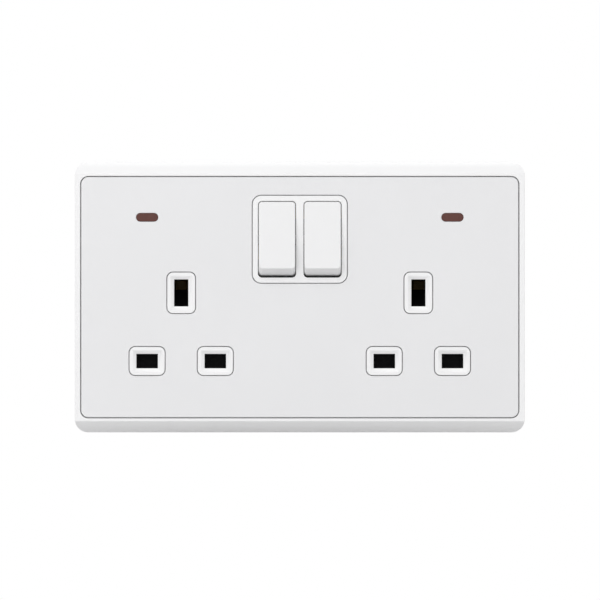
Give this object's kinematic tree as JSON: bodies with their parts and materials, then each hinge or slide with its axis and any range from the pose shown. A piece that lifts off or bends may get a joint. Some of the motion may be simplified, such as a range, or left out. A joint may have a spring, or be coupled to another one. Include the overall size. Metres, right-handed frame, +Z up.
{
  "type": "uk twin socket",
  "caption": "Wide switched wall outlet for square-pin plugs, with a clip-on satin plate, sloped frame edges, central rocker switches and neon windows.",
  "frame": {"origin": "the middle of the line between the two fixing holes, in the plane of the wall", "axes": "+X to the viewer's right, +Y into the wall, +Z up"},
  "size_m": [0.1466, 0.0305, 0.088],
  "materials": {
    "frame_white": "gloss moulded urea",
    "plate_white": "fine satin moulded urea",
    "rocker_white": "gloss moulded",
    "housing_dark": "matt moulded",
    "shutter_black": "matt moulded",
    "plunger_nylon": "natural nylon",
    "lens_amber": "tinted clear window, unlit",
    "copper_alloy": "rolled strip",
    "terminal_brass": "machined",
    "contact_silver": "bright silver alloy",
    "screw_steel": "zinc plated",
    "spring_steel": "drawn wire",
    "lamp_glass": "clear",
    "resistor_body": "lacquered",
    "lead_wire": "tinned"
  },
  "bodies": {
    "frame": {"base_frame": "frame_white", "rear_housing": "housing_dark", "line_bar": "copper_alloy", "fixed_tips": "contact_silver", "neutral_bar": "copper_alloy", "earth_bar": "copper_alloy", "terminal_screws": "screw_steel", "housing_screws": "screw_steel", "neutral_terminal": "terminal_brass", "earth_terminal_left": "terminal_brass", "earth_terminal_right": "terminal_brass", "line_terminal": "terminal_brass", "line_contact_left": "copper_alloy", "line_contact_right": "copper_alloy", "shutter_spring_left": "spring_steel", "shutter_spring_right": "spring_steel", "shutter_guide_left": "housing_dark", "shutter_guide_right": "housing_dark", "neon_lens_left": "lens_amber", "neon_lens_right": "lens_amber", "neon_lamp_left": "lamp_glass", "neon_lamp_right": "lamp_glass", "neon_resistor_left": "resistor_body", "neon_resistor_right": "resistor_body", "neon_leads_left": "lead_wire", "neon_leads_right": "lead_wire"},
    "front_plate": {"front_plate": "plate_white"},
    "rocker_left": {"rocker_left": "rocker_white", "plunger_spring_left": "spring_steel"},
    "plunger_left": {"plunger_left": "plunger_nylon"},
    "moving_contact_left": {"moving_contact_left": "copper_alloy", "moving_tip_left": "contact_silver"},
    "shutter_left": {"shutter_left": "shutter_black"},
    "rocker_right": {"rocker_right": "rocker_white", "plunger_spring_right": "spring_steel"},
    "plunger_right": {"plunger_right": "plunger_nylon"},
    "moving_contact_right": {"moving_contact_right": "copper_alloy", "moving_tip_right": "contact_silver"},
    "shutter_right": {"shutter_right": "shutter_black"}
  },
  "joints": [
    {"name": "front_plate_lift", "type": "slide", "parent": "frame", "child": "front_plate", "axis": [0, -1, 0], "range_m": [0, 0.02]},
    {"name": "rocker_left_tilt", "type": "hinge", "parent": "frame", "child": "rocker_left", "pos_m": [-0.00742, -0.0031, 0.01885], "axis": [1, 0, 0], "range_deg": [0, 18]},
    {"name": "plunger_left_press", "type": "slide", "parent": "rocker_left", "child": "plunger_left", "axis": [0, -0.9877, 0.1564], "range_m": [0, 0.0006], "stiffness_N_per_m": 600, "springref_m": -0.002},
    {"name": "moving_contact_left_tilt", "type": "hinge", "parent": "frame", "child": "moving_contact_left", "pos_m": [-0.00742, 0.0068, 0.01885], "axis": [1, 0, 0], "range_deg": [-18, 0]},
    {"name": "shutter_left_open", "type": "slide", "parent": "frame", "child": "shutter_left", "axis": [0, 0, -1], "range_m": [0, 0.006], "stiffness_N_per_m": 60, "springref_m": -0.003, "deforming": ["shutter_spring_left"]},
    {"name": "rocker_right_tilt", "type": "hinge", "parent": "frame", "child": "rocker_right", "pos_m": [0.00742, -0.0031, 0.01885], "axis": [1, 0, 0], "range_deg": [0, 18]},
    {"name": "plunger_right_press", "type": "slide", "parent": "rocker_right", "child": "plunger_right", "axis": [0, -0.9877, 0.1564], "range_m": [0, 0.0006], "stiffness_N_per_m": 600, "springref_m": -0.002},
    {"name": "moving_contact_right_tilt", "type": "hinge", "parent": "frame", "child": "moving_contact_right", "pos_m": [0.00742, 0.0068, 0.01885], "axis": [1, 0, 0], "range_deg": [-18, 0]},
    {"name": "shutter_right_open", "type": "slide", "parent": "frame", "child": "shutter_right", "axis": [0, 0, -1], "range_m": [0, 0.006], "stiffness_N_per_m": 60, "springref_m": -0.003, "deforming": ["shutter_spring_right"]}
  ],
  "couplings": [
    {"joint": "moving_contact_left_tilt", "follows": "rocker_left_tilt", "ratio": -1},
    {"joint": "moving_contact_right_tilt", "follows": "rocker_right_tilt", "ratio": -1}
  ]
}
